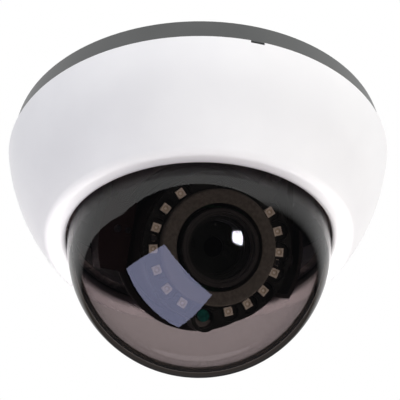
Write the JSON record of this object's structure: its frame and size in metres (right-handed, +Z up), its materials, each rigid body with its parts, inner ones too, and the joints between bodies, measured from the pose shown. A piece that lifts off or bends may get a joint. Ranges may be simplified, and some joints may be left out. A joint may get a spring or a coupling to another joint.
{
  "type": "dome cctv camera",
  "caption": "Ceiling dome security camera: white cover, smoked bubble, and a panning, tilting and rotating infra-red varifocal lens module inside.",
  "frame": {"origin": "centre of the ceiling face, which is the centre of the ceiling screw circle", "axes": "+Z points up into the ceiling, the body hangs down -Z, -Y is the front, +X is the right seen from the front"},
  "size_m": [0.1444, 0.1444, 0.0952],
  "materials": {
    "charcoal_plastic": "satin moulded",
    "white_plastic": "satin moulded",
    "black_plastic": "fine moulded grain",
    "bezel_plastic": "satin moulded",
    "green_plastic": "moulded",
    "ivory_plastic": "moulded",
    "grey_ceramic": "matt",
    "nylon": "natural",
    "capacitor_sleeve": "shrunk sleeve",
    "circuit_board": "solder mask",
    "led_circuit_board": "black solder mask",
    "sensor_chip": "package with window",
    "photocell": "clear resin over the cell",
    "led_package": "gold lead frame under clear resin",
    "foam_rubber": "closed cell foam, matt",
    "soft_rubber": "matt",
    "clear_silicone": "translucent, matt",
    "steel_screws": "zinc plated",
    "bright_screws": "nickel plated",
    "steel_plate": "pressed",
    "lens_metal": "black anodised",
    "smoked_dome": "smoked polycarbonate, gloss",
    "lens_glass": "coated optical glass",
    "filter_glass": "infra-red cut filter"
  },
  "bodies": {
    "base": {"base_plate": "charcoal_plastic", "base_seal": "soft_rubber", "cable_grommet": "soft_rubber", "conduit_plug": "charcoal_plastic", "power_board": "circuit_board", "power_board_screws": "steel_screws", "terminal_block": "green_plastic", "video_socket": "ivory_plastic", "board_capacitors": "capacitor_sleeve"},
    "pan": {"turntable": "black_plastic", "pan_retainer": "steel_plate", "pan_retainer_screws": "steel_screws", "yoke_arm_left": "black_plastic", "yoke_arm_right": "black_plastic", "yoke_screws": "steel_screws"},
    "tilt": {"cradle": "black_plastic", "tilt_washers": "nylon", "tilt_screws": "steel_screws", "ear_plate": "black_plastic", "ear_plate_screws": "steel_screws"},
    "module": {"module_housing": "black_plastic", "rotation_clip": "steel_plate", "sensor_board": "circuit_board", "sensor_board_screws": "steel_screws", "image_sensor": "sensor_chip", "lens_mount": "black_plastic", "ir_cut_filter": "filter_glass", "lens_tube": "lens_metal", "rear_lens_group": "lens_glass", "front_barrel": "lens_metal", "aperture_ring": "lens_metal", "lens_retainer": "lens_metal", "front_lens": "lens_glass", "light_shield": "foam_rubber", "led_board": "led_circuit_board", "ir_leds": "led_package", "led_bezel": "bezel_plastic", "bezel_screws": "bright_screws", "light_sensor": "photocell", "light_sensor_seat": "grey_ceramic"},
    "zoom": {"zoom_ring": "lens_metal", "zoom_lock": "steel_plate"},
    "focus": {"focus_ring": "lens_metal", "focus_lock": "steel_plate"},
    "cover": {"cover_shell": "white_plastic", "dome_gasket": "clear_silicone", "dome": "smoked_dome", "dome_ring": "white_plastic", "dome_ring_screws": "steel_screws"}
  },
  "joints": [
    {"name": "cover_off", "type": "slide", "parent": "base", "child": "cover", "axis": [0, 0, -1], "range_m": [0, 0.1]},
    {"name": "pan_turn", "type": "hinge", "parent": "base", "child": "pan", "pos_m": [0, 0, 0], "axis": [0, 0, 1], "range_deg": [-175, 175]},
    {"name": "tilt_turn", "type": "hinge", "parent": "pan", "child": "tilt", "pos_m": [0, 0, -0.0468], "axis": [0.9511, 0.309, 0], "range_deg": [-20, 55]},
    {"name": "module_turn", "type": "hinge", "parent": "tilt", "child": "module", "pos_m": [0, 0, -0.0468], "axis": [0.255, -0.7847, -0.565], "range_deg": [-90, 90]},
    {"name": "zoom_turn", "type": "hinge", "parent": "module", "child": "zoom", "pos_m": [0, 0, -0.0468], "axis": [0.255, -0.7847, -0.565], "range_deg": [-45, 45]},
    {"name": "focus_turn", "type": "hinge", "parent": "module", "child": "focus", "pos_m": [0, 0, -0.0468], "axis": [0.255, -0.7847, -0.565], "range_deg": [-60, 60]}
  ]
}
